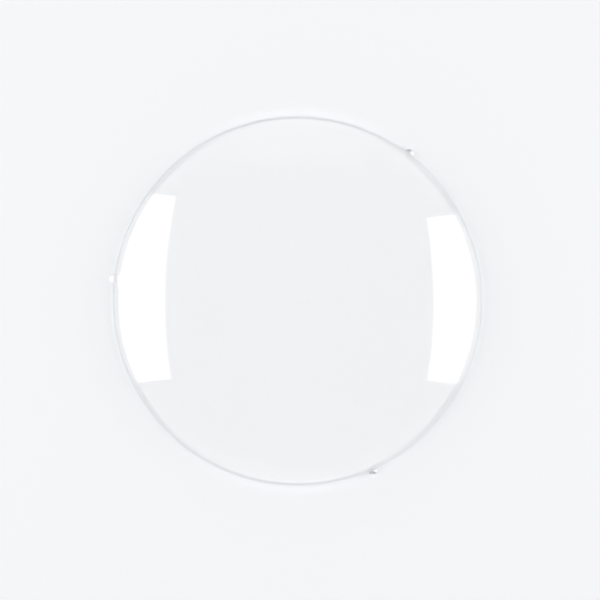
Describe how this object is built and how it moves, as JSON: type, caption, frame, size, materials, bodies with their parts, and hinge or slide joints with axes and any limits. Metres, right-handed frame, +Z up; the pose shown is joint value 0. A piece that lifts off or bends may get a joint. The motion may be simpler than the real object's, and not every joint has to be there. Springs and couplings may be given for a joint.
{
  "type": "domed watch glass dish",
  "caption": "Shallow domed clear glass lab dish with a fire-polished round rim, lying dome up on three small glass nubs fused to the rim.",
  "frame": {"origin": "the dish's axis, on the bench plane, which is the plane of the nubs' flat undersides", "axes": "+Z up through the top of the dome, along the dish's axis of revolution; -X towards the left nub, +Y away from the viewer's lower edge"},
  "size_m": [0.1011, 0.1, 0.0123],
  "materials": {
    "glass": "clear soda-lime glass, fire-polished, with a faint green tint at the rim"
  },
  "bodies": {
    "root": {"dish": "glass", "nub_left": "glass", "nub_upper_right": "glass", "nub_lower_right": "glass"}
  },
  "joints": []
}
